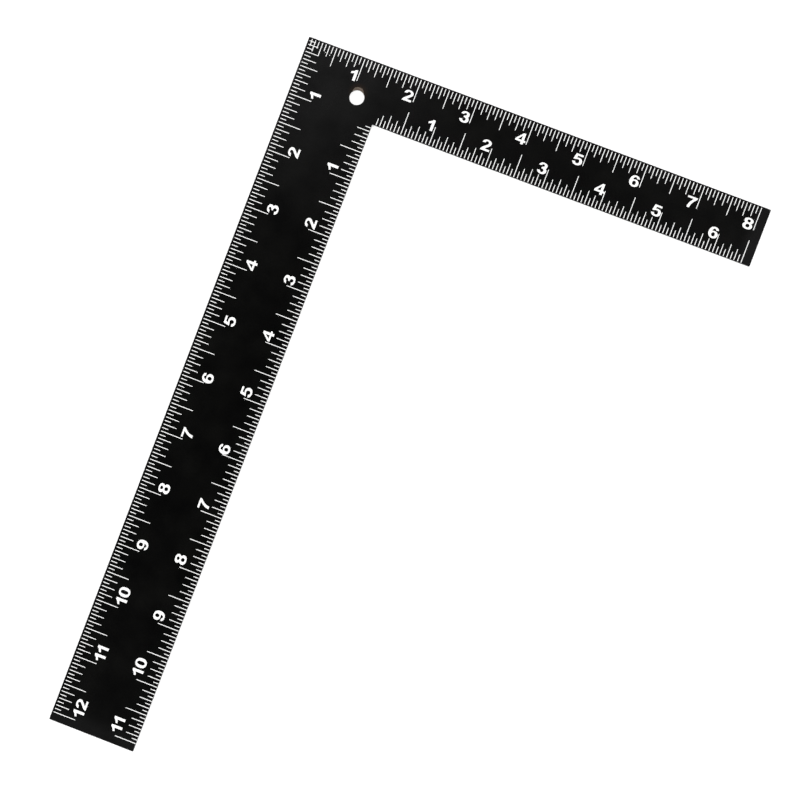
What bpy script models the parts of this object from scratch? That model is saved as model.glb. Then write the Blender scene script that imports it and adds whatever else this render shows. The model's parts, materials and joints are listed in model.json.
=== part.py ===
"""Steel square ruler: one flat L-shaped steel blank with a punched hanging hole.

Metres, +Z up. The square lies flat on z = 0 with its scales facing up. The tongue, the short narrow arm,
runs along +X, and the blade, the long wide arm, runs along -Y. They meet at the heel, at -X and +Y. The
origin is at the middle of the underside's bounding box.
"""

import math

import bpy
from mathutils import Vector

INCH = 0.0254

# Driving dimensions
TONGUE_LENGTH = 8.156 * INCH  # along the outer edge, from the heel to past the 8 inch mark
TONGUE_WIDTH = 1.0 * INCH
BLADE_LENGTH = 12.142 * INCH  # along the outer edge, from the heel to past the 12 inch mark
BLADE_WIDTH = 1.5 * INCH
THICKNESS = 0.0015
CORNER_RADIUS = 0.0003  # the stamped outline's corners, broken just enough to handle
HOLE_DIAMETER = 0.25 * INCH
HOLE_FROM_BLADE_EDGE = 1.10 * INCH  # hole centre from the blade's outer edge
HOLE_FROM_TONGUE_EDGE = 0.67 * INCH  # hole centre from the tongue's outer edge
EDGE_BREAK = 0.00015  # deburred edge, round both faces and the hole

# Fineness
CORNER_POINTS = 4
HOLE_POINTS = 64
EDGE_SEGMENTS = 2

ENAMEL_COLOUR = (0.0070, 0.0066, 0.0062, 1.0)
ENAMEL_ROUGHNESS = 0.45

# The bounding box is centred on the origin, and the outer corner of the heel is at its -X, +Y corner.
HEEL = Vector((-TONGUE_LENGTH / 2, BLADE_LENGTH / 2))


def clear_scene():
    for obj in list(bpy.data.objects):
        bpy.data.objects.remove(obj, do_unlink=True)


def from_heel(along_tongue, along_blade):
    """A point given by its distances from the heel, along +X and along -Y."""
    return HEEL + Vector((along_tongue, -along_blade))


def square_corners():
    """The L's corners in order round the outline, anticlockwise seen from above."""
    return [
        from_heel(0, 0),
        from_heel(0, BLADE_LENGTH),
        from_heel(BLADE_WIDTH, BLADE_LENGTH),
        from_heel(BLADE_WIDTH, TONGUE_WIDTH),
        from_heel(TONGUE_LENGTH, TONGUE_WIDTH),
        from_heel(TONGUE_LENGTH, 0),
    ]


def rounded_corner(before, corner, after):
    """The arc that replaces a right-angled corner, tangent to both of its edges."""
    to_before = (before - corner).normalized() * CORNER_RADIUS
    to_after = (after - corner).normalized() * CORNER_RADIUS
    centre = corner + to_before + to_after
    points = []
    for step in range(CORNER_POINTS + 1):
        turn = math.pi / 2 * step / CORNER_POINTS
        points.append(centre - to_after * math.cos(turn) - to_before * math.sin(turn))
    return points


def square_outline():
    corners = square_corners()
    points = []
    for index, corner in enumerate(corners):
        points += rounded_corner(corners[index - 1], corner, corners[(index + 1) % len(corners)])
    return points


def hole_outline():
    centre = from_heel(HOLE_FROM_BLADE_EDGE, HOLE_FROM_TONGUE_EDGE)
    turns = [2 * math.pi * step / HOLE_POINTS for step in range(HOLE_POINTS)]
    return [centre + Vector((math.cos(turn), math.sin(turn))) * HOLE_DIAMETER / 2 for turn in turns]


def add_outline(curve, points):
    """A closed straight-sided spline through the points."""
    spline = curve.splines.new("POLY")
    spline.points.add(len(points) - 1)
    for spline_point, point in zip(spline.points, points):
        spline_point.co = (point.x, point.y, 0.0, 1.0)
    spline.use_cyclic_u = True


def enamel():
    """Black satin enamel over steel."""
    material = bpy.data.materials.new("black_enamel")
    material.use_nodes = True
    shader = material.node_tree.nodes["Principled BSDF"]
    shader.inputs["Base Color"].default_value = ENAMEL_COLOUR
    shader.inputs["Metallic"].default_value = 0.0
    shader.inputs["Roughness"].default_value = ENAMEL_ROUGHNESS
    return material


def build_blank(collection):
    """The flat outline with its hole, given its thickness, then its edges broken all round."""
    curve = bpy.data.curves.new("square_blank", "CURVE")
    curve.dimensions = "2D"
    curve.fill_mode = "BOTH"
    curve.extrude = THICKNESS / 2
    add_outline(curve, square_outline())
    add_outline(curve, hole_outline())
    curve.materials.append(enamel())

    blank = bpy.data.objects.new("square_blank", curve)
    blank.location.z = THICKNESS / 2
    collection.objects.link(blank)

    weld = blank.modifiers.new("weld_caps", "WELD")
    weld.merge_threshold = 0.00001
    edges = blank.modifiers.new("broken_edges", "BEVEL")
    edges.width = EDGE_BREAK
    edges.segments = EDGE_SEGMENTS
    edges.limit_method = "ANGLE"
    edges.angle_limit = math.radians(60)
    return blank


def main():
    clear_scene()
    collection = bpy.data.collections.new("steel_square_ruler")
    bpy.context.scene.collection.children.link(collection)
    build_blank(collection)


main()
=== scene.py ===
"""Steel square ruler: its enamel, its printed scales and the worn lip of its hanging hole.

Metres, +Z up, in the CAD model's frame. The square lies flat with its scales up: the tongue, the narrow
arm, runs along +X, and the blade, the wide arm, along -Y. They meet at the heel, at -X and +Y.
"""

import json
import math

import bmesh
import bpy
from mathutils import Matrix, Vector, noise


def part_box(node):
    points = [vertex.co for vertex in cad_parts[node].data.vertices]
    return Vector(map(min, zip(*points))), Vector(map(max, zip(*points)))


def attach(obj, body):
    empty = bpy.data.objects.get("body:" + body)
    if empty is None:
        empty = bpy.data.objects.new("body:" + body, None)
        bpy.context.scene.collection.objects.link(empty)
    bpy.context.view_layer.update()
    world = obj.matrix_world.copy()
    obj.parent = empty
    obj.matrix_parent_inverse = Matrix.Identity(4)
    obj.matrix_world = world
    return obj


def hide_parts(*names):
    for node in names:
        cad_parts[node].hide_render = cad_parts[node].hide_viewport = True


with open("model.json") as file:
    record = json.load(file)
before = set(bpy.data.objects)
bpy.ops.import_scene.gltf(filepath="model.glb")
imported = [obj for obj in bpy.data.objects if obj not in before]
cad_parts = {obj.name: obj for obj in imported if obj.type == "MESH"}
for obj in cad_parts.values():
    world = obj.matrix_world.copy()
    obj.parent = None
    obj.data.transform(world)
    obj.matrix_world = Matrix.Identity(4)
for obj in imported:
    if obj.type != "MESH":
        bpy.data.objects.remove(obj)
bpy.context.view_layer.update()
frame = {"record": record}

MM = 0.001
INCH = 0.0254
SIXTEENTH = INCH / 16

# The blank, read from the frame
LOW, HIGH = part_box("square_blank")
MOUNTS = {mount["name"]: Vector(mount["pos_m"]) for mount in frame["record"]["mounts"]}
HOLE_BOX = next(o for o in frame["record"]["physics"]["openings"] if o["name"] == "hanging_hole")["box_m"]
HEEL = Vector((LOW.x, HIGH.y))
INSIDE_CORNER = Vector((MOUNTS["blade_inner_edge"].x, MOUNTS["tongue_inner_edge"].y))
BLADE_TIP = LOW.y
TONGUE_TIP = HIGH.x
HOLE = (Vector(HOLE_BOX[0]) + Vector(HOLE_BOX[1])).xy / 2
HOLE_RADIUS = 0.125 * INCH

# The finish's thicknesses
PRINT_HEIGHT = 0.04 * MM  # the numerals' screen ink, dried on the enamel
TONGUE_MARKS_HEIGHT = 0.7 * PRINT_HEIGHT
BLADE_MARKS_HEIGHT = 0.8 * PRINT_HEIGHT
ENAMEL_TOP = HIGH.z - PRINT_HEIGHT
EDGE_RADIUS = 0.12 * MM  # enamel drawn thin over the deburred edges
CORNER_RADIUS = 0.25 * MM

# Fineness
HOLE_FACETS = 96
DISC_FACETS = 12

# The dished wear on the hole's lip, where the hook rubs when the square hangs
WEAR_DIRECTION = math.radians(97)  # from the hole's centre towards the tongue's outer edge
WEAR_OFFSET = 2.15 * MM
WEAR_RADIUS = 2.44 * MM
WEAR_SPHERE = 12.0 * MM
WEAR_CENTRE = HOLE + WEAR_OFFSET * Vector((math.cos(WEAR_DIRECTION), math.sin(WEAR_DIRECTION)))
WEAR_SPHERE_Z = ENAMEL_TOP + math.sqrt(WEAR_SPHERE**2 - WEAR_RADIUS**2)

# The printed scales
TICK_WIDTH = 0.325 * MM
NUMERAL_HEIGHT = 4.78 * MM
NUMERAL_SPACING = 0.85 * MM
NUMERAL_FULLNESS = 1.1  # how much squarer the bowls are than true arcs


# ---------------------------------------------------------------- materials


def linear(hex_colour):
    """An sRGB hex colour as linear RGBA."""
    channels = [int(hex_colour[i : i + 2], 16) / 255 for i in (1, 3, 5)]
    return [c / 12.92 if c <= 0.04045 else ((c + 0.055) / 1.055) ** 2.4 for c in channels] + [1.0]


def add_node(tree, kind, inputs=None, stops=(), **settings):
    """A node of that kind with its settings and links. A ramp's stops are pairs of place and colour.

    Each input is given a value, or the socket that feeds it. Its name means the input of that name which
    the settings leave in use, because a Mix has an A for each kind of data.
    """
    node = tree.nodes.new(kind)
    for name, value in settings.items():
        setattr(node, name, value)
    for name, value in (inputs or {}).items():
        if isinstance(name, int):
            socket = node.inputs[name]
        else:
            socket = next(s for s in node.inputs if s.name == name and s.enabled)
        if isinstance(value, bpy.types.NodeSocket):
            tree.links.new(value, socket)
        else:
            socket.default_value = value
    for index, (place, colour) in enumerate(stops):
        stop = node.color_ramp.elements[index] if index < 2 else node.color_ramp.elements.new(place)
        stop.position = place
        stop.color = colour
    return node


def new_material(name):
    """An empty material, its tree and the Principled shader that feeds its output."""
    material = bpy.data.materials.new(name)
    material.use_nodes = True
    tree = material.node_tree
    tree.nodes.clear()
    shader = add_node(tree, "ShaderNodeBsdfPrincipled")
    add_node(tree, "ShaderNodeOutputMaterial", {"Surface": shader.outputs["BSDF"]})
    return material, tree, shader


def black_enamel():
    """Baked satin enamel, sprayed: nearly black, with a soft sheen broken by faint orange peel.

    Its colour is painted a little lighter at the heel and at the ends of both arms. That is partly dust and
    handling, and partly a painted sheen standing in for the brighter reflection there.
    Round the worn lip of the hole it is rubbed so thin that brown shows through.
    """
    material, tree, shader = new_material("black_baked_enamel")
    coords = add_node(tree, "ShaderNodeTexCoord").outputs["Object"]
    axes = add_node(tree, "ShaderNodeSeparateXYZ", {"Vector": coords})
    from_heel = add_node(
        tree, "ShaderNodeVectorMath", {0: coords, 1: (*HEEL, ENAMEL_TOP)}, operation="DISTANCE"
    )
    from_wear = add_node(
        tree, "ShaderNodeVectorMath", {0: coords, 1: (*WEAR_CENTRE, ENAMEL_TOP)}, operation="DISTANCE"
    )
    # Handling marks drift over the arms in clouds about a thumb's width across
    clouds = add_node(
        tree,
        "ShaderNodeTexNoise",
        {"Vector": coords, "Scale": 1 / (14 * MM), "Detail": 3.0, "Roughness": 0.55},
    ).outputs["Fac"]
    fine_clouds = add_node(
        tree,
        "ShaderNodeTexNoise",
        {"Vector": coords, "Scale": 1 / (2.5 * MM), "Detail": 3.0, "Roughness": 0.6},
    ).outputs["Fac"]

    # Each share rises from 0 to 1 as its value goes from the first limit to the second
    share = {}
    for name, value, none_at, full_at in (
        ("tongue_end", axes.outputs["X"], TONGUE_TIP - 9 * MM, TONGUE_TIP - 2 * MM),
        ("blade_end", axes.outputs["Y"], BLADE_TIP + 10 * MM, BLADE_TIP + 2 * MM),
        ("heel", from_heel.outputs["Value"], 90 * MM, 15 * MM),
        ("drift", clouds, -0.3, 0.6),
        ("rubbed", from_wear.outputs["Value"], 4.8 * MM, 2.3 * MM),
        ("patch", fine_clouds, 0.0, 0.65),
    ):
        share[name] = add_node(
            tree,
            "ShaderNodeMapRange",
            {"Value": value, "From Min": none_at, "From Max": full_at, "To Min": 0.0, "To Max": 1.0},
            interpolation_type="SMOOTHSTEP",
        ).outputs["Result"]
    either_end = add_node(
        tree, "ShaderNodeMath", {0: share["tongue_end"], 1: share["blade_end"]}, operation="MAXIMUM"
    )
    any_end = add_node(
        tree, "ShaderNodeMath", {0: either_end.outputs["Value"], 1: share["heel"]}, operation="MAXIMUM"
    )
    # Lighter in clouds at the heel and at the arms' ends: partly dust, partly a painted sheen standing in for
    # the brighter reflection there
    dust_and_painted_sheen = add_node(
        tree, "ShaderNodeMath", {0: any_end.outputs["Value"], 1: share["drift"]}, operation="MULTIPLY"
    )
    thin = add_node(
        tree, "ShaderNodeMath", {0: share["rubbed"], 1: share["patch"]}, operation="MULTIPLY"
    )

    tone = add_node(
        tree,
        "ShaderNodeValToRGB",
        {"Fac": clouds},
        stops=((0.3, linear("#020202")), (0.75, linear("#050504"))),
    )
    # Painted sheen and dust: the heel and the arms' ends are mixed towards a lighter black
    dust_and_sheen_colour = add_node(
        tree,
        "ShaderNodeMix",
        {"Factor": dust_and_painted_sheen.outputs["Value"], "A": tone.outputs["Color"], "B": linear("#070707")},
        data_type="RGBA",
    )
    colour = add_node(
        tree,
        "ShaderNodeMix",
        {"Factor": thin.outputs["Value"], "A": dust_and_sheen_colour.outputs[2], "B": linear("#170f09")},
        data_type="RGBA",
    )
    gloss = add_node(
        tree,
        "ShaderNodeMapRange",
        {"Value": clouds, "From Min": 0.3, "From Max": 0.7, "To Min": 0.175, "To Max": 0.22},
    )
    # The same dust dulls the gloss there, which is real roughness and not painted
    dulled = add_node(
        tree,
        "ShaderNodeMath",
        {0: dust_and_painted_sheen.outputs["Value"], 1: 0.07, 2: gloss.outputs["Result"]},
        operation="MULTIPLY_ADD",
    )
    # Real peel on so thin a coat is finer and flatter: this is as coarse as it needs to be to show
    peel = add_node(
        tree,
        "ShaderNodeTexNoise",
        {"Vector": coords, "Scale": 1 / (1.3 * MM), "Detail": 2.0, "Roughness": 0.5},
    )
    peel_bump = add_node(
        tree, "ShaderNodeBump", {"Height": peel.outputs["Fac"], "Distance": 0.006 * MM, "Strength": 1.0}
    )
    # Satin grain, drawn ten times coarser than the pigment's
    grain = add_node(
        tree,
        "ShaderNodeTexNoise",
        {"Vector": coords, "Scale": 1 / (0.25 * MM), "Detail": 1.0, "Roughness": 0.5},
    )
    grain_bump = add_node(
        tree,
        "ShaderNodeBump",
        {
            "Height": grain.outputs["Fac"],
            "Distance": 0.0012 * MM,
            "Strength": 1.0,
            "Normal": peel_bump.outputs["Normal"],
        },
    )
    tree.links.new(colour.outputs[2], shader.inputs["Base Color"])
    tree.links.new(dulled.outputs["Value"], shader.inputs["Roughness"])
    tree.links.new(grain_bump.outputs["Normal"], shader.inputs["Normal"])
    shader.inputs["Specular IOR Level"].default_value = 0.22
    return material


def white_print():
    """Screen-printed ink: matt opaque white, faintly pitted by the mesh that it was pressed through."""
    material, tree, shader = new_material("white_screen_ink")
    coords = add_node(tree, "ShaderNodeTexCoord").outputs["Object"]
    # The enamel greys the ink where the film is thin, in patches about three strokes wide
    density = add_node(
        tree,
        "ShaderNodeTexNoise",
        {"Vector": coords, "Scale": 1 / (0.9 * MM), "Detail": 3.0, "Roughness": 0.6},
    )
    tone = add_node(
        tree,
        "ShaderNodeValToRGB",
        {"Fac": density.outputs["Fac"]},
        stops=((0.25, linear("#dfdfdd")), (0.55, linear("#ececeb"))),
    )
    # The mesh's own pitch is about 0.1 mm, drawn a little coarser so that it shows
    pits = add_node(
        tree,
        "ShaderNodeTexNoise",
        {"Vector": coords, "Scale": 1 / (0.15 * MM), "Detail": 1.0, "Roughness": 0.5},
    )
    bump = add_node(
        tree, "ShaderNodeBump", {"Height": pits.outputs["Fac"], "Distance": 0.004 * MM, "Strength": 1.0}
    )
    tree.links.new(tone.outputs["Color"], shader.inputs["Base Color"])
    tree.links.new(bump.outputs["Normal"], shader.inputs["Normal"])
    shader.inputs["Roughness"].default_value = 0.62
    return material


def worn_steel():
    """Mild steel rubbed bare and then handled: a dull brown-grey, with a painted dark ring of shade where the
    lip turns.
    """
    material, tree, shader = new_material("worn_mild_steel")
    coords = add_node(tree, "ShaderNodeTexCoord").outputs["Object"]
    centred = add_node(tree, "ShaderNodeMapping", {"Vector": coords, "Location": (-HOLE.x, -HOLE.y, 0.0)})
    flat = add_node(
        tree,
        "ShaderNodeVectorMath",
        {0: centred.outputs["Vector"], 1: (1.0, 1.0, 0.0)},
        operation="MULTIPLY",
    )
    radius = add_node(tree, "ShaderNodeVectorMath", {0: flat.outputs["Vector"]}, operation="LENGTH")
    across = add_node(
        tree,
        "ShaderNodeMapRange",
        {
            "Value": radius.outputs["Value"],
            "From Min": HOLE_RADIUS,
            "From Max": HOLE_RADIUS + 1.5 * MM,
            "To Min": 0.0,
            "To Max": 1.0,
        },
    )
    # The steel's tone out from the bore, with a painted dark ring of shade where the lip turns, at 0.3 of the
    # way across
    steel_tone_and_painted_shade = add_node(
        tree,
        "ShaderNodeValToRGB",
        {"Fac": across.outputs["Result"]},
        stops=(
            (0.0, linear("#6d655d")),
            (1.0, linear("#2d241d")),
            (0.18, linear("#746b63")),
            (0.3, linear("#463a2e")),
            (0.44, linear("#776e66")),
            (0.72, linear("#6a6058")),
        ),
    )
    # Rust stain and rub marks, in blotches half a millimetre across
    blotches = add_node(
        tree,
        "ShaderNodeTexNoise",
        {"Vector": coords, "Scale": 1 / (0.45 * MM), "Detail": 4.0, "Roughness": 0.65},
    )
    stain = add_node(
        tree,
        "ShaderNodeMapRange",
        {"Value": blotches.outputs["Fac"], "From Min": 0.35, "From Max": 0.7, "To Min": 0.0, "To Max": 0.6},
    )
    colour = add_node(
        tree,
        "ShaderNodeMix",
        {"Factor": stain.outputs["Result"], "A": steel_tone_and_painted_shade.outputs["Color"], "B": linear("#382b20")},
        data_type="RGBA",
    )
    bump = add_node(
        tree, "ShaderNodeBump", {"Height": blotches.outputs["Fac"], "Distance": 0.02 * MM, "Strength": 1.0}
    )
    tree.links.new(colour.outputs[2], shader.inputs["Base Color"])
    tree.links.new(bump.outputs["Normal"], shader.inputs["Normal"])
    shader.inputs["Metallic"].default_value = 1.0
    shader.inputs["Roughness"].default_value = 0.55
    return material


# ---------------------------------------------------------------- making pieces


def new_piece(name, bm, material):
    """The finished mesh as a piece of the square, which rides on its only body."""
    mesh = bpy.data.meshes.new(name)
    bm.to_mesh(mesh)
    bm.free()
    mesh.materials.append(material)
    piece = bpy.data.objects.new(name, mesh)
    bpy.context.scene.collection.objects.link(piece)
    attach(piece, "root")
    return piece


def curve_mesh(curve):
    """The mesh that a filled curve makes, its caps welded on and cleared of slivers. Uses up the curve."""
    holder = bpy.data.objects.new("outline", curve)
    bpy.context.scene.collection.objects.link(holder)
    evaluated = holder.evaluated_get(bpy.context.evaluated_depsgraph_get())
    mesh = bpy.data.meshes.new_from_object(evaluated)
    bpy.data.objects.remove(holder)
    bpy.data.curves.remove(curve)
    bm = bmesh.new()
    bm.from_mesh(mesh)
    bmesh.ops.remove_doubles(bm, verts=bm.verts, dist=0.002 * MM)
    bmesh.ops.dissolve_limit(bm, angle_limit=math.radians(0.2), verts=bm.verts, edges=bm.edges)
    bmesh.ops.recalc_face_normals(bm, faces=bm.faces)
    bm.to_mesh(mesh)
    bm.free()
    return mesh


def flat_curve(name, thickness):
    """An empty curve whose closed splines fill to a slab of that thickness, centred on z = 0."""
    curve = bpy.data.curves.new(name, "CURVE")
    curve.dimensions = "2D"
    curve.fill_mode = "BOTH"
    curve.extrude = thickness / 2
    return curve


def add_straight_spline(curve, points):
    """A closed spline with straight sides through the points."""
    spline = curve.splines.new("POLY")
    spline.points.add(len(points) - 1)
    for spline_point, point in zip(spline.points, points):
        spline_point.co = (point[0], point[1], 0.0, 1.0)
    spline.use_cyclic_u = True


# ---------------------------------------------------------------- the enamelled blank


def enamelled_blank():
    """The L with its hole, its edges softened by the enamel and the lip of the hole dished by wear."""
    thickness = ENAMEL_TOP - LOW.z
    curve = flat_curve("square_enamelled", thickness)
    corners = [
        (LOW.x, HIGH.y),
        (LOW.x, LOW.y),
        (INSIDE_CORNER.x, LOW.y),
        (INSIDE_CORNER.x, INSIDE_CORNER.y),
        (HIGH.x, INSIDE_CORNER.y),
        (HIGH.x, HIGH.y),
    ]
    add_straight_spline(curve, corners)
    turns = [2 * math.pi * step / HOLE_FACETS for step in range(HOLE_FACETS)]
    add_straight_spline(curve, [HOLE + HOLE_RADIUS * Vector((math.cos(t), math.sin(t))) for t in turns])
    mesh = curve_mesh(curve)
    mesh.transform(Matrix.Translation((0, 0, LOW.z + thickness / 2)))

    bm = bmesh.new()
    bm.from_mesh(mesh)
    bpy.data.meshes.remove(mesh)
    for chosen, radius, segments in ((is_corner, CORNER_RADIUS, 4), (is_rim, EDGE_RADIUS, 3)):
        edges = [e for e in bm.edges if len(e.link_faces) == 2 and chosen(e)]
        bmesh.ops.bevel(
            bm,
            geom=edges,
            offset=radius,
            segments=segments,
            profile=0.5,
            affect="EDGES",
            material=-1,
            clamp_overlap=False,
        )
    blank = new_piece("square_enamelled", bm, black_enamel())
    dish_lip(blank)
    # Everything but the two flat faces is rounded, with a sharp line where the dish cuts into the bore
    blank.data.set_sharp_from_angle(angle=math.radians(35))
    for face in blank.data.polygons:
        face.use_smooth = abs(face.normal.z) < 0.9999
    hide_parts("square_blank")


def is_corner(edge):
    """Whether an edge is one of the outline's vertical corners, and not between two facets of the hole."""
    first, second = edge.verts
    stands = abs(first.co.z - second.co.z) > 0.5 * (ENAMEL_TOP - LOW.z)
    return stands and edge.calc_face_angle() > math.radians(45)


def is_rim(edge):
    """Whether an edge is between a wall and one of the two flat faces."""
    first, second = edge.link_faces
    return abs(first.normal.z - second.normal.z) > 0.9


def dish_lip(blank):
    """Grinds the shallow dish of the worn lip out of the blank with a large sphere."""
    bm = bmesh.new()
    bmesh.ops.create_uvsphere(bm, u_segments=192, v_segments=384, radius=WEAR_SPHERE)
    # Only the sphere's lowest cap grinds, so the rest goes and the cap is closed
    spare = [v for v in bm.verts if v.co.z > -0.9 * WEAR_SPHERE]
    bmesh.ops.delete(bm, geom=spare, context="VERTS")
    rim = [e for e in bm.edges if e.is_boundary]
    bmesh.ops.contextual_create(bm, geom=rim)
    bmesh.ops.recalc_face_normals(bm, faces=bm.faces)
    bmesh.ops.translate(bm, verts=bm.verts, vec=(*WEAR_CENTRE, WEAR_SPHERE_Z))
    mesh = bpy.data.meshes.new("wear_cutter")
    bm.to_mesh(mesh)
    bm.free()
    cutter = bpy.data.objects.new("wear_cutter", mesh)
    bpy.context.scene.collection.objects.link(cutter)
    dish = blank.modifiers.new("dish", "BOOLEAN")
    dish.operation = "DIFFERENCE"
    dish.object = cutter
    evaluated = blank.evaluated_get(bpy.context.evaluated_depsgraph_get())
    dished = bpy.data.meshes.new_from_object(evaluated)
    blank.modifiers.clear()
    blank.data = dished
    bpy.data.objects.remove(cutter)


def ragged(turn, pitch, reach):
    """An uneven distance that wanders with the direction from the hole's centre."""
    return reach * noise.noise(Vector((turn / pitch, 3.1, 0.0)))


def lip_height(spot):
    """The height of the blank's top beside the hole: the lower of its rounded edge and the dish."""
    from_axis = (spot - WEAR_CENTRE).length
    dish = WEAR_SPHERE_Z - math.sqrt(WEAR_SPHERE**2 - from_axis**2)
    into_edge = min(EDGE_RADIUS, max(0.0, HOLE_RADIUS + EDGE_RADIUS - (spot - HOLE).length))
    rounded = ENAMEL_TOP - EDGE_RADIUS + math.sqrt(EDGE_RADIUS**2 - into_edge**2)
    return min(dish, rounded)


def worn_lip():
    """The bare steel: a ragged crescent in the dish, and below it the hole's wall where the hook bears.

    A flat grid is bent to shape. Its rows run up the wall first and then out across the dish.
    """
    half_spread = math.radians(58)
    skin = 0.012 * MM
    wall_rows = 1 / 4  # the share of the grid's rows that lie on the wall
    bm = bmesh.new()
    bmesh.ops.create_grid(bm, x_segments=96, y_segments=16, size=1.0)
    for vert in bm.verts:
        offset = vert.co.x * half_spread
        row = (vert.co.y + 1) / 2
        turn = WEAR_DIRECTION + offset
        outward = Vector((math.cos(turn), math.sin(turn)))
        # How far the dish reaches from the hole's centre in this direction
        to_rim = math.sqrt(max(0.0, WEAR_RADIUS**2 - (WEAR_OFFSET * math.sin(offset)) ** 2))
        uneven = ragged(turn, 0.11, 0.16 * MM) + ragged(turn, 0.05, 0.06 * MM)
        outer = WEAR_OFFSET * math.cos(offset) + to_rim - 0.12 * MM + uneven
        inner = HOLE_RADIUS - skin
        outer = max(inner + 0.01 * MM, outer)
        up_the_wall = min(1.0, row / wall_rows)
        # The rows lie closer together where the edge turns over
        across_the_dish = max(0.0, (row - wall_rows) / (1 - wall_rows)) ** 1.6
        spot = HOLE + (inner + across_the_dish * (outer - inner)) * outward
        bared = (0.7 * MM + ragged(turn, 0.3, 0.25 * MM)) * math.cos(0.5 * math.pi * vert.co.x)
        height = lip_height(spot) + skin - (1 - up_the_wall) * max(bared, 0.02 * MM)
        vert.co = (spot.x, spot.y, height)
    inside = bmesh.ops.extrude_face_region(bm, geom=bm.faces[:], use_keep_orig=True)
    for vert in (item for item in inside["geom"] if isinstance(item, bmesh.types.BMVert)):
        outward = (vert.co.xy - HOLE).normalized()
        vert.co += Vector((outward.x, outward.y, -1)) * 2 * skin
    bmesh.ops.recalc_face_normals(bm, faces=bm.faces)
    for face in bm.faces:
        face.smooth = True
    new_piece("worn_hole_lip", bm, worn_steel())


# ---------------------------------------------------------------- numerals

# Each numeral is drawn in hundredths of its height, as closed outlines of nodes: (x, y) is a corner,
# (x, y, heading) a smooth turn in that direction of travel, and (x, y, arriving, leaving) a corner where
# one or both sides are curved. Headings are in degrees, and None is a straight side.
EAST, NORTH, WEST, SOUTH = 0, 90, 180, 270
NUMERALS = {
    "0": (86, [
        [(0, 56, SOUTH), (0, 44, SOUTH), (43, -1, EAST), (86, 44, NORTH), (86, 56, NORTH),
         (43, 101, WEST)],
        [(26, 44, NORTH), (26, 56, NORTH), (43, 86, EAST), (60, 56, SOUTH), (60, 44, SOUTH),
         (43, 15, WEST)],
    ]),
    "1": (58, [
        [(57.5, 0), (57.5, 100), (38.5, 100, None, 235), (0.5, 74.5, 195, None), (2.5, 57, None, 25),
         (33.5, 70, 40, None), (33.5, 0)],
    ]),
    "2": (84, [
        [(0, 0), (84, 0), (84, 17.5), (38, 17.5, None, 48), (60, 38, 40), (84, 72.5, NORTH),
         (42.5, 100.5, WEST), (1.5, 68.5, 264, None), (28.5, 72, None, 84), (43, 86.5, EAST),
         (60, 71.5, SOUTH), (42, 50, 222), (8, 18.5, 232)],
    ]),
    "3": (82, [
        [(0, 26.5, None, 280), (41, -1, EAST), (82.5, 30, NORTH), (66, 53.5, 165, 20), (77.5, 75.5, NORTH),
         (40.5, 100.5, WEST), (1.5, 72, 258, None), (26.5, 74.5, None, 78), (41, 86.5, EAST),
         (53, 76, SOUTH), (33.5, 62.3, 182, None), (29.8, 47.3, None, 5), (56, 31.5, SOUTH),
         (41, 14.5, WEST), (25.5, 30, 100, None)],
    ]),
    "4": (92.5, [
        [(54, 0), (76.5, 0), (76.5, 20.5), (92.5, 20.5), (92.5, 37), (76.5, 37), (76.5, 100), (57.5, 100),
         (0, 37), (0, 20.5), (54, 20.5)],
        [(54, 37), (22, 37), (54, 75.5)],
    ]),
    "5": (85.5, [
        [(0, 27, None, 282), (42, -1, EAST), (85.5, 34.5, NORTH), (49, 67.5, WEST), (30.5, 62.8, 207, None),
         (33.5, 83.5), (80.5, 83.5), (80.5, 100), (14.5, 100), (2.8, 46.3), (26.5, 49, None, 35),
         (43, 53.6, EAST), (60.3, 34, SOUTH), (42.5, 14.5, WEST), (25.5, 30, 98, None)],
    ]),
    "6": (87, [
        [(83.5, 76.3, None, 102), (46.5, 101, WEST), (0, 48, SOUTH), (45, -1, EAST), (87, 32, NORTH),
         (50, 64.8, WEST), (28, 60, 205, 82), (46, 86, EAST), (60.8, 73.8, 283, None)],
        [(45.5, 52.3, EAST), (62.2, 33.5, SOUTH), (45.5, 14.7, WEST), (29.3, 33.5, NORTH)],
    ]),
    "7": (88, [
        [(17, 0), (41, 0, None, 86), (88, 85, 42, None), (88, 100), (0, 100), (0, 83.5),
         (57, 83.5, None, 230), (17, 0, 266, None)],
    ]),
    "8": (87.5, [
        [(43.7, -1, EAST), (87.4, 28.5, NORTH), (70.5, 54, 148, 32), (84.3, 75.5, NORTH), (43.7, 101, WEST),
         (3.1, 75.5, SOUTH), (17, 54, 328, 212), (0, 28.5, SOUTH)],
        [(45, 61.5, WEST), (29.5, 74, NORTH), (45, 86.7, EAST), (60.5, 74, SOUTH)],
        [(44.5, 14.3, WEST), (26.8, 30.5, NORTH), (44.5, 46.9, EAST), (62, 30.5, SOUTH)],
    ]),
}


def turned_over(numeral):
    """The numeral turned through half a turn, as a 9 is a 6."""
    width, outlines = numeral
    turned = []
    for outline in outlines:
        turned.append([
            (width - x, 100 - y, *[None if heading is None else heading + 180 for heading in headings])
            for x, y, *headings in outline
        ])
    return width, turned


NUMERALS["9"] = turned_over(NUMERALS["6"])


def handle_reach(start, end, leaving, arriving):
    """The handles of the smoothest curve between two nodes: an arc where the two directions allow one."""
    chord = end - start
    straight = math.atan2(chord.y, chord.x)
    first = straight if leaving is None else math.radians(leaving)
    last = straight if arriving is None else math.radians(arriving)
    turn = abs((last - first + math.pi) % (2 * math.pi) - math.pi)
    if turn < 0.01:
        share = 1 / 3
    else:
        share = NUMERAL_FULLNESS * 4 / 3 * math.tan(turn / 4) / math.sin(min(turn, math.radians(150)))
    out = Vector((math.cos(first), math.sin(first)))
    back = Vector((math.cos(last), math.sin(last)))
    return start + out * share * abs(chord.dot(out)), end - back * share * abs(chord.dot(back))


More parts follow.
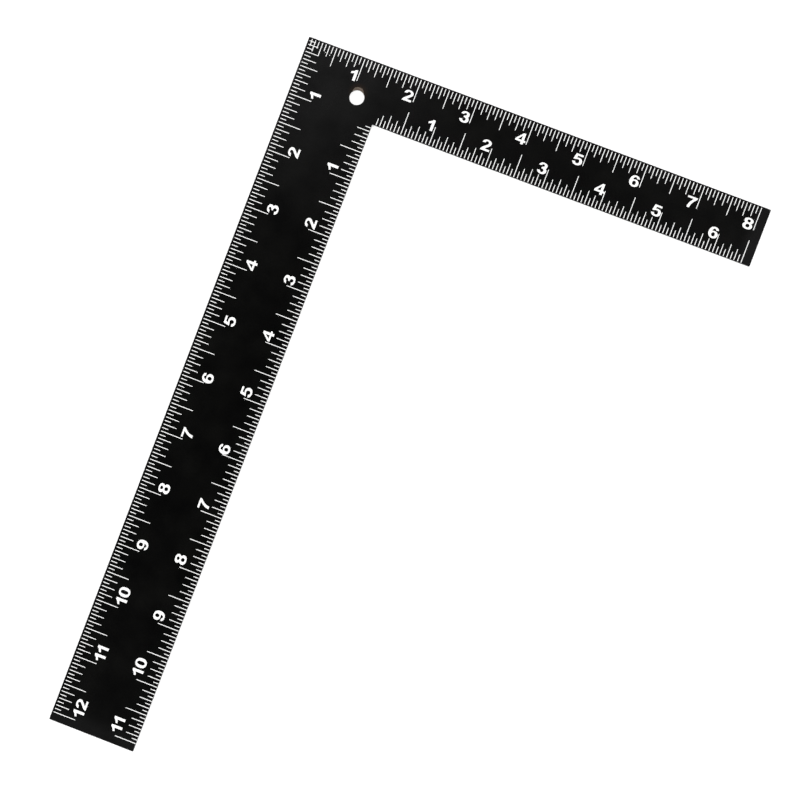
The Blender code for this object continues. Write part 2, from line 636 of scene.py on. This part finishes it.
def add_numeral_spline(curve, outline, size):
    """One of a numeral's outlines as a closed Bezier spline, scaled by the size."""
    spline = curve.splines.new("BEZIER")
    spline.bezier_points.add(len(outline) - 1)
    spline.use_cyclic_u = True
    nodes = []
    for x, y, *headings in outline:
        arriving = headings[0] if headings else None
        leaving = headings[-1] if headings else None
        nodes.append((Vector((x, y)) * size, arriving, leaving))
    for index, (start, _, leaving) in enumerate(nodes):
        following = (index + 1) % len(nodes)
        end, arriving, _ = nodes[following]
        reach_out, reach_back = handle_reach(start, end, leaving, arriving)
        here = spline.bezier_points[index]
        there = spline.bezier_points[following]
        here.co = start.to_3d()
        here.handle_right_type = "FREE"
        there.handle_left_type = "FREE"
        here.handle_right = reach_out.to_3d()
        there.handle_left = reach_back.to_3d()


def numeral_mesh(digit, thickness):
    """The solid numeral, standing on z = 0 with its lower left corner at the origin."""
    width, outlines = NUMERALS[digit]
    curve = flat_curve("numeral_" + digit, thickness)
    curve.resolution_u = 10
    for outline in outlines:
        add_numeral_spline(curve, outline, NUMERAL_HEIGHT / 100)
    mesh = curve_mesh(curve)
    mesh.transform(Matrix.Translation((0, 0, thickness / 2)))
    return mesh


# ---------------------------------------------------------------- the printed scales

# Each scale's marks run from a corner along an arm. Their lengths, in millimetres, go by the fraction of an
# inch that a mark stands for, in sixteenths. A numeral has a place of its own, because the print wasn't
# registered any better: the gap from its inch mark to its near side, and the distance from the arm's edge
# to its middle, both in millimetres.
TONGUE_MARKS = {16: 10.02, 8: 8.15, 4: 5.97, 2: 4.92, 1: 3.1}
TONGUE_INNER_MARKS = {16: 8.05, 8: 10.0, 4: 5.9, 2: 4.85, 1: 3.05}
BLADE_MARKS = {16: 9.74, 8: 9.74, 4: 5.81, 2: 5.81, 1: 2.75}
BLADE_INNER_MARKS = {16: 9.46, 8: 9.46, 4: 5.52, 2: 5.52, 1: 2.4}
SCALES = (
    {
        "name": "tongue_outer",
        "corner": HEEL,
        "along": Vector((1, 0)),
        "inward": Vector((0, -1)),
        "reach": TONGUE_TIP - HEEL.x,
        "margin": 0.55,
        "marks": TONGUE_MARKS,
        "numerals": (
            (0.84, 8.6), (0.88, 8.7), (0.82, 8.7), (0.61, 8.7),
            (0.76, 8.7), (0.80, 8.8), (0.84, 8.7), (0.93, 8.7),
        ),
    },
    {
        "name": "tongue_inner",
        "corner": INSIDE_CORNER,
        "along": Vector((1, 0)),
        "inward": Vector((0, 1)),
        "reach": TONGUE_TIP - INSIDE_CORNER.x,
        "margin": 0.28,
        "marks": TONGUE_INNER_MARKS,
        "numerals": ((0.82, 8.55), (0.78, 8.75), (0.67, 8.05), (0.19, 8.5), (0.40, 8.25), (0.40, 8.1)),
    },
    {
        "name": "blade_outer",
        "corner": HEEL,
        "along": Vector((0, -1)),
        "inward": Vector((1, 0)),
        "reach": HEEL.y - BLADE_TIP,
        "margin": 0.74,
        "marks": BLADE_MARKS,
        "odd_marks": {2: 4.4, 8: 7.7},
        "numerals": (
            (1.22, 11.2), (0.67, 11.4), (0.65, 11.6), (0.59, 11.5), (0.78, 11.6), (0.32, 11.4),
            (0.90, 11.8), (1.09, 10.8), (1.03, 10.8), (1.41, 10.8), (1.47, 10.8), (1.45, 10.8),
        ),
    },
    {
        "name": "blade_inner",
        "corner": INSIDE_CORNER,
        "along": Vector((0, -1)),
        "inward": Vector((-1, 0)),
        "reach": INSIDE_CORNER.y - BLADE_TIP,
        "margin": 0.06,
        "marks": BLADE_INNER_MARKS,
        "numerals": (
            (1.22, 9.3), (0.67, 9.4), (0.67, 9.2), (0.67, 9.3), (0.82, 9.3), (0.27, 9.4),
            (0.88, 9.1), (1.13, 10.1), (1.07, 10.1), (1.47, 10.1), (1.51, 10.0),
        ),
    },
)


def mark_length(scale, sixteenths):
    """The printed length of the mark that stands so many sixteenths from the corner."""
    odd = scale.get("odd_marks", {})
    if sixteenths in odd:
        return odd[sixteenths] * MM
    return next(length for step, length in scale["marks"].items() if sixteenths % step == 0) * MM


def scale_ticks(scale, ink, height):
    """One mark for each sixteenth, as a bar with round ends, up to the arm's last whole half inch."""
    halves = int(scale["reach"] / (INCH / 2))
    bm = bmesh.new()
    for sixteenths in range(1, 8 * halves + 1):
        foot = scale["corner"] + scale["along"] * sixteenths * SIXTEENTH
        foot = foot + scale["inward"] * scale["margin"] * MM
        run = max(mark_length(scale, sixteenths) - TICK_WIDTH, 0.0)
        disc = bmesh.ops.create_circle(bm, cap_ends=True, segments=DISC_FACETS, radius=TICK_WIDTH / 2)
        for vert in disc["verts"]:
            stretched = vert.co.xy.dot(scale["inward"]) > 0
            bar_end = scale["inward"] * (TICK_WIDTH / 2 + (run if stretched else 0.0))
            vert.co = (vert.co.xy + foot + bar_end).to_3d()
    bmesh.ops.translate(bm, verts=bm.verts, vec=(0, 0, ENAMEL_TOP))
    raise_ink(bm, height)
    new_piece(scale["name"] + "_ticks", bm, ink)


def raise_ink(bm, height):
    """Gives flat shapes the height of the dried ink."""
    bmesh.ops.recalc_face_normals(bm, faces=bm.faces)
    bmesh.ops.reverse_faces(bm, faces=[f for f in bm.faces if f.normal.z < 0])
    raised = bmesh.ops.extrude_face_region(bm, geom=bm.faces[:])
    top = [item for item in raised["geom"] if isinstance(item, bmesh.types.BMVert)]
    bmesh.ops.translate(bm, verts=top, vec=(0, 0, height))
    bmesh.ops.recalc_face_normals(bm, faces=bm.faces)


def scale_numerals(scale, ink, height):
    """The scale's inch numerals, each on the heel side of its inch mark.

    They read along the arm: away from the heel on the tongue, and towards it on the blade.
    """
    solids = {digit: numeral_mesh(digit, height) for digit in NUMERALS}
    reading = scale["along"] if scale["along"].x else -scale["along"]
    turn = Matrix.Rotation(math.atan2(reading.y, reading.x), 4, "Z")
    bm = bmesh.new()
    for inch, (gap, depth) in enumerate(scale["numerals"], start=1):
        text = str(inch)
        widths = [NUMERALS[digit][0] / 100 * NUMERAL_HEIGHT for digit in text]
        whole = sum(widths) + NUMERAL_SPACING * (len(text) - 1)
        middle = scale["corner"] + scale["along"] * (inch * INCH - gap * MM - whole / 2)
        middle = middle + scale["inward"] * depth * MM
        pen = -whole / 2
        for digit, width in zip(text, widths):
            mesh = solids[digit].copy()
            mesh.transform(Matrix.Translation((pen, -NUMERAL_HEIGHT / 2, 0)))
            mesh.transform(Matrix.Translation((middle.x, middle.y, ENAMEL_TOP)) @ turn)
            bm.from_mesh(mesh)
            bpy.data.meshes.remove(mesh)
            pen += width + NUMERAL_SPACING
    for mesh in solids.values():
        bpy.data.meshes.remove(mesh)
    new_piece(scale["name"] + "_numerals", bm, ink)


def ink_specks(ink):
    """Two specks where ink spattered beside the heel's marks."""
    bm = bmesh.new()
    # Millimetres from the heel along the tongue and along the blade, and the radius
    for along_tongue, along_blade, radius in ((8.75, 3.95, 0.16), (10.85, 4.45, 0.2)):
        disc = bmesh.ops.create_circle(bm, cap_ends=True, segments=DISC_FACETS, radius=radius * MM)
        place = HEEL + Vector((along_tongue, -along_blade)) * MM
        bmesh.ops.translate(bm, verts=disc["verts"], vec=(place.x, place.y, ENAMEL_TOP))
    raise_ink(bm, TONGUE_MARKS_HEIGHT)
    new_piece("ink_specks", bm, ink)


# ---------------------------------------------------------------- floor, light and camera


def studio_floor():
    """A white light table, far wider than the square. Its own glow takes away the square's shadow."""
    material, tree, shader = new_material("white_light_table")
    shader.inputs["Base Color"].default_value = linear("#dcdcdc")
    shader.inputs["Emission Color"].default_value = linear("#ffffff")
    shader.inputs["Emission Strength"].default_value = 0.45
    shader.inputs["Roughness"].default_value = 0.9
    shader.inputs["Specular IOR Level"].default_value = 0.1
    bm = bmesh.new()
    bmesh.ops.create_grid(bm, x_segments=1, y_segments=1, size=6.0)
    bmesh.ops.translate(bm, verts=bm.verts, vec=(0, 0, LOW.z - 0.05 * MM))
    mesh = bpy.data.meshes.new("floor")
    bm.to_mesh(mesh)
    bm.free()
    mesh.materials.append(material)
    floor = bpy.data.objects.new("floor", mesh)
    bpy.context.scene.collection.objects.link(floor)


def studio_light():
    """Soft light from a broad ring high overhead, round a dark ceiling that the enamel mirrors as black.

    The walls below the ring are dim, for the same reason, down to a bright horizon. The ceiling's darkest
    place is a little to the front, so the far ends of both arms catch more of the ring.
    """
    world = bpy.data.worlds.new("studio")
    bpy.context.scene.world = world
    world.use_nodes = True
    tree = world.node_tree
    tree.nodes.clear()
    direction = add_node(tree, "ShaderNodeTexCoord").outputs["Generated"]
    darkest = Vector((0.0, -0.07, 1.0)).normalized()
    towards = add_node(tree, "ShaderNodeVectorMath", {0: direction, 1: darkest}, operation="DOT_PRODUCT")
    angle = add_node(tree, "ShaderNodeMath", {0: towards.outputs["Value"]}, operation="ARCCOSINE")
    share = add_node(tree, "ShaderNodeMath", {0: angle.outputs["Value"], 1: math.pi}, operation="DIVIDE")
    # Degrees from the darkest place, and the light's level there. The ramp's first and last stops come first.
    levels = (
        (0, 0.003),
        (180, 0.3),
        (9, 0.002),
        (14, 0.06),
        (22, 0.13),
        (29, 1.0),
        (50, 1.0),
        (60, 0.06),
        (83, 0.06),
        (88, 0.5),
        (100, 0.5),
    )
    profile = add_node(
        tree,
        "ShaderNodeValToRGB",
        {"Fac": share.outputs["Value"]},
        stops=[(degrees / 180, (level, level, level, 1.0)) for degrees, level in levels],
    )
    glow = add_node(tree, "ShaderNodeBackground", {"Color": profile.outputs["Color"], "Strength": 2.65})
    add_node(tree, "ShaderNodeOutputWorld", {"Surface": glow.outputs["Background"]})
    bpy.context.scene.view_settings.view_transform = "Standard"


def studio_camera():
    """Nearly overhead, through a 90 mm lens, rolled so that the tongue falls to the right."""
    view_from = Vector((18.4, 27.8, 841.7)) * MM
    look_at = Vector((-13.1, 24.6, HIGH.z / MM)) * MM
    roll = math.radians(20.9)
    camera_data = bpy.data.cameras.new("camera")
    camera_data.lens = 90
    camera_data.sensor_width = 36
    camera = bpy.data.objects.new("camera", camera_data)
    bpy.context.scene.collection.objects.link(camera)
    back = (view_from - look_at).normalized()
    right = Vector((math.cos(roll), math.sin(roll), 0))
    right = (right - back * right.dot(back)).normalized()
    up = back.cross(right)
    camera.matrix_world = Matrix.Translation(view_from) @ Matrix((right, up, back)).transposed().to_4x4()
    bpy.context.scene.camera = camera


def main():
    studio_camera()
    studio_floor()
    studio_light()
    enamelled_blank()
    worn_lip()
    ink = white_print()
    for scale in SCALES:
        on_blade = scale["along"].x == 0
        # The arms' marks were printed one after the other and the numerals last, each film over the last
        scale_ticks(scale, ink, BLADE_MARKS_HEIGHT if on_blade else TONGUE_MARKS_HEIGHT)
        scale_numerals(scale, ink, PRINT_HEIGHT)
    ink_specks(ink)


main()
